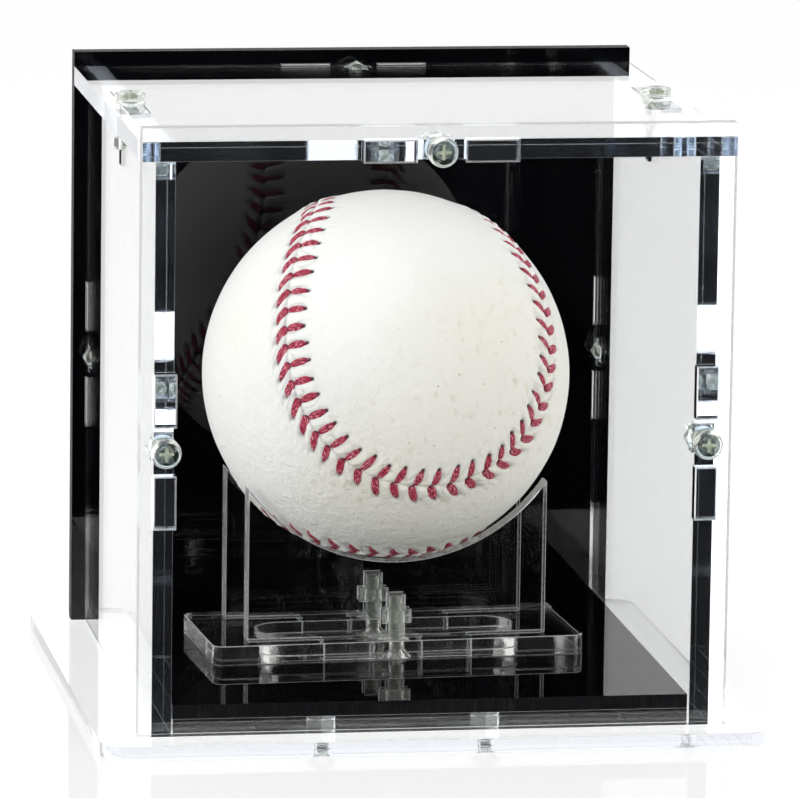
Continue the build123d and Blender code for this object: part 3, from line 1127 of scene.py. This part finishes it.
def arm_points(seam_frame, start, end, side, rng):
    """Rings of one stitch: a flattened double strand that rises from the seam and dives into its hole."""
    shape = ARM_SHAPES[side]
    s = np.linspace(0, 1, ARM_STEPS) ** ARM_SPACING
    way = (end - start) / np.linalg.norm(end - start)
    normal = np.array((-way[1], way[0]))
    path = start + s[:, None] * (end - start)
    path += (rng.normal(0.03, 0.06) * MM * side * np.sin(pi * s))[:, None] * normal
    width = 1 + rng.normal(0, 0.07)
    first, reach, power = shape["outline"]
    half = shape["half"] * MM * width * np.clip(np.sin(pi * (first + reach * s)), 0, 1) ** power
    rise, rise_from = shape["rise"]
    dip, sharpness = shape["dip"]
    lift = rise * np.sin(pi * (rise_from + (1 - rise_from) * s)) ** 0.5 - dip * (1 - s) ** sharpness
    lift -= ARM_SINK_MM * s**9
    thick = STRAND_MM * MM * np.clip(half / (0.45 * MM), 0.3, 1)
    split = 0.5 + rng.normal(0, 0.06)
    points, soil, spots = [], [], []
    for k in range(ARM_STEPS):
        for column in range(ARM_COLUMNS):
            turn = FULL_TURN * column / ARM_COLUMNS
            level = abs(sin(turn)) ** 0.8 * (1 if sin(turn) > 0 else -1)
            crease = 0.5 * bell(cos(turn) + 2 * split - 1, 0.26) if level > 0 else 0.0
            spot = path[k] + cos(turn) * half[k] * normal
            height = lift[k] * MM + level * thick[k] * (1 - crease)
            points.append(on_ball(*seam_frame, spot[:1], spot[1:])[0] * (BALL_RADIUS + height))
            # Darkness for the colour: dirt and painted shade at the hole end, painted shade along the
            # crease between the two strands and where the stitch dips into the seam.
            at_hole = 0.9 * max(0.0, (s[k] - 0.84) / 0.16) ** 1.4 * shape["soil"]
            soil.append(at_hole + 0.15 * (crease > 0.3) + 0.6 * max(0.0, 0.1 - s[k]) / 0.1)
            spots.append((cos(turn) * half[k] / MM, s[k] * OUTER_LENGTH / MM))
    return points, soil, spots


class DISPLAYCASE_OT_ball_stitching(bpy.types.Operator):
    """Build the ball's stitches"""

    bl_idname = "display_case.ball_stitching"
    bl_label = "Ball stitches"

    def execute(self, context):
        settings = context.scene.display_case_ball
        material = stitch_thread(settings)
        frames, arms = stitch_layout(settings)
        rng = np.random.default_rng(11)
        points, faces, soils_and_shades, spots = [], [], [], []
        for side, start, end in arms:
            for k in range(settings.stitch_pairs):
                seam_frame = [axis[k] for axis in frames]
                rings, soil, places = arm_points(seam_frame, start[k], end[k], side, rng)
                base = len(points)
                points += rings
                soils_and_shades += soil
                # Each stitch takes its fibres from another part of the noise.
                spots += [(u, v + 7.3 * (k + 200 * side)) for u, v in places]
                faces += solid_faces(ARM_STEPS, ARM_COLUMNS, base)
        piece = new_piece("ball_stitching", np.array(points) + ball_centre(), faces, material)
        keep_soil_and_shade(piece, soils_and_shades)
        threads = piece.data.uv_layers.new(name="thread")
        for loop in piece.data.loops:
            threads.data[loop.index].uv = spots[loop.vertex_index]
        turn_outwards(piece)
        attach(piece, "ball")
        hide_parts("seam_stitching")
        return {"FINISHED"}


CAMERA_PLACE = (-0.23941, -1.44914, 0.32649)
CAMERA_YAW = radians(9.513)
CAMERA_PITCH = radians(-10.365)
CAMERA_ROLL = radians(0.819)
CAMERA_LENS_MM = 333.8
CAMERA_SHIFT = (-0.0093, 0.0032)
TABLE_REACH = 4.0
TABLE_DROP = 0.05 * MM
LAMP_TARGET = (0, 0, 0.06)
# Each lamp's place, size, power setting and whether glossy faces show it.
LAMPS = {
    "key_lamp": ((-0.25, -0.25, 0.75), 0.5, "key_power", True),
    "side_lamp": ((-1.05, -0.36, 0.05), 0.8, "side_power", False),
    "fill_lamp": ((0.92, -0.62, 0.12), 0.8, "fill_power", False),
}
# The white room as clear and glossy pieces show it: where, from the camera's side to the far side, each
# share of the backdrop's strength comes in.
ROOM_STEPS = ((-0.9, -0.6, 0.7), (0.5, 0.85, 0.3))


def place_camera():
    """The camera, at the photograph's viewing angle."""
    data = bpy.data.cameras.new("camera")
    data.lens = CAMERA_LENS_MM
    data.sensor_width = 36.0
    data.shift_x, data.shift_y = CAMERA_SHIFT
    data.clip_start = 0.05
    camera = bpy.data.objects.new("camera", data)
    bpy.context.scene.collection.objects.link(camera)
    ahead = cos(CAMERA_PITCH)
    forward = Vector((sin(CAMERA_YAW) * ahead, cos(CAMERA_YAW) * ahead, sin(CAMERA_PITCH)))
    level = forward.cross(Vector((0, 0, 1))).normalized()
    raised = level.cross(forward)
    right = level * cos(CAMERA_ROLL) + raised * sin(CAMERA_ROLL)
    up = raised * cos(CAMERA_ROLL) - level * sin(CAMERA_ROLL)
    turn = Matrix((right, up, -forward)).transposed().to_4x4()
    camera.matrix_world = Matrix.Translation(CAMERA_PLACE) @ turn
    bpy.context.scene.camera = camera


def soft_lamp(name, place, size, power, seen_in_gloss):
    """A square soft lamp that looks at the case."""
    data = bpy.data.lights.new(name, "AREA")
    data.shape = "SQUARE"
    data.size = size
    data.energy = power
    lamp = bpy.data.objects.new(name, data)
    bpy.context.scene.collection.objects.link(lamp)
    lamp.location = place
    lamp.rotation_euler = (Vector(LAMP_TARGET) - Vector(place)).to_track_quat("-Z", "Y").to_euler()
    lamp.visible_camera = False
    lamp.visible_transmission = False
    lamp.visible_glossy = seen_in_gloss


def table_material():
    """White table with a soft shadow and a faint mirror image, brighter where the case shows it."""
    finish = Finish("white_table")
    finish.made(Base_Color=(0.34, 0.34, 0.345, 1), Roughness=0.6, Specular_IOR_Level=0.0)
    path = finish.node("ShaderNodeLightPath").outputs
    direct = finish.math("LESS_THAN", path["Diffuse Depth"], 0.5)
    mirrored = finish.math("MULTIPLY", path["Is Glossy Ray"], 0.38)
    through = finish.math("MULTIPLY", path["Is Transmission Ray"], 0.40)
    extra = finish.math("MULTIPLY", finish.math("ADD", mirrored, through), direct)
    glow = finish.wired("ShaderNodeEmission", {"Strength": finish.math("ADD", extra, 0.67)})
    finish.material.cycles.emission_sampling = "NONE"
    lit = finish.wired("ShaderNodeAddShader", {0: finish.shader.outputs[0], 1: glow})
    gloss = finish.wired("ShaderNodeBsdfGlossy", {"Roughness": 0.02})
    finish.feed(finish.surface, finish.mix(0.15, lit, gloss))
    return finish.material


def studio_world(ambient, backdrop):
    """White to the eye, darker behind the camera in reflections, and a plain level of light elsewhere."""
    world = bpy.data.worlds.new("studio")
    world.use_nodes = True
    work = NodeWork(world.node_tree)
    path = work.node("ShaderNodeLightPath").outputs
    camera = path["Is Camera Ray"]
    place = work.node("ShaderNodeTexCoord").outputs["Generated"]
    depth = work.wired("ShaderNodeSeparateXYZ", {0: place}, "Y")
    near, far = [work.span(depth, low, high, 0.0, share, smooth=True) for low, high, share in ROOM_STEPS]
    mirrored = work.math("ADD", path["Is Glossy Ray"], path["Is Transmission Ray"], clamp=True)
    direct = work.math("LESS_THAN", path["Diffuse Depth"], 0.5)
    seen = work.math("MULTIPLY", work.math("MULTIPLY", mirrored, direct), work.math("ADD", near, far))
    look = work.math("ADD", camera, work.math("MULTIPLY", seen, backdrop))
    looked_at = work.math("MULTIPLY", work.math("ADD", camera, mirrored, clamp=True), direct)
    plain = work.math("SUBTRACT", 1.0, looked_at, clamp=True)
    strength = work.math("ADD", look, work.math("MULTIPLY", plain, ambient))
    background = work.wired("ShaderNodeBackground", {"Strength": strength})
    work.feed(work.node("ShaderNodeOutputWorld").inputs[0], background)
    world.cycles.sampling_method = "NONE"
    return world


class DISPLAYCASE_OT_stage(bpy.types.Operator):
    """Set up the table, the lamps, the backdrop and the camera"""

    bl_idname = "display_case.stage"
    bl_label = "Stage"

    def execute(self, context):
        settings = context.scene.display_case_stage
        scene = context.scene
        reach = TABLE_REACH
        material = table_material()
        front = -settings.table_front
        for name, near, far in (("table", front, reach), ("table_apron", -reach, front)):
            corners = [(-reach, near, 0), (reach, near, 0), (reach, far, 0), (-reach, far, 0)]
            part = new_piece(name, corners, [(0, 1, 2, 3)], material, smooth=False)
            part.location.z = -TABLE_DROP
        # Only the eye sees the apron, which would else show in the clear sheets as a white strip.
        part.visible_glossy = part.visible_transmission = part.visible_shadow = False
        for name, (place, size, power, seen_in_gloss) in LAMPS.items():
            soft_lamp(name, place, size, getattr(settings, power), seen_in_gloss)
        scene.world = studio_world(settings.ambient, settings.backdrop)
        scene.view_settings.view_transform = "Standard"
        scene.cycles.max_bounces = 32
        scene.cycles.diffuse_bounces = 3
        scene.cycles.glossy_bounces = 20
        scene.cycles.transmission_bounces = 28
        scene.cycles.transparent_max_bounces = 48
        place_camera()
        return {"FINISHED"}


class DISPLAYCASE_PT_sidebar(bpy.types.Panel):
    """Lists the case's pieces"""

    bl_label = "Display Case"
    bl_idname = "DISPLAYCASE_PT_sidebar"
    bl_space_type = "VIEW_3D"
    bl_region_type = "UI"
    bl_category = "Display Case"

    def draw(self, context):
        for operator in OPERATORS:
            self.layout.operator(operator.bl_idname)


OPERATORS = (
    DISPLAYCASE_OT_clear_sheets,
    DISPLAYCASE_OT_black_sheets,
    DISPLAYCASE_OT_fasteners,
    DISPLAYCASE_OT_ball_cover,
    DISPLAYCASE_OT_ball_stitching,
    DISPLAYCASE_OT_stage,
)
SETTINGS = {
    "display_case_sheets": SheetSettings,
    "display_case_fasteners": FastenerSettings,
    "display_case_ball": BallSettings,
    "display_case_stage": StageSettings,
}


CLASSES = (*SETTINGS.values(), *OPERATORS, DISPLAYCASE_PT_sidebar)


def register():
    for made_class in CLASSES:
        bpy.utils.register_class(made_class)
    for name, group in SETTINGS.items():
        setattr(bpy.types.Scene, name, PointerProperty(type=group))


def unregister():
    for name in SETTINGS:
        delattr(bpy.types.Scene, name)
    for made_class in reversed(CLASSES):
        bpy.utils.unregister_class(made_class)


def main():
    register()
    bpy.ops.display_case.clear_sheets()
    bpy.ops.display_case.black_sheets()
    bpy.ops.display_case.fasteners()
    bpy.ops.display_case.ball_cover()
    bpy.ops.display_case.ball_stitching()
    bpy.ops.display_case.stage()


if __name__ == "__main__":
    main()
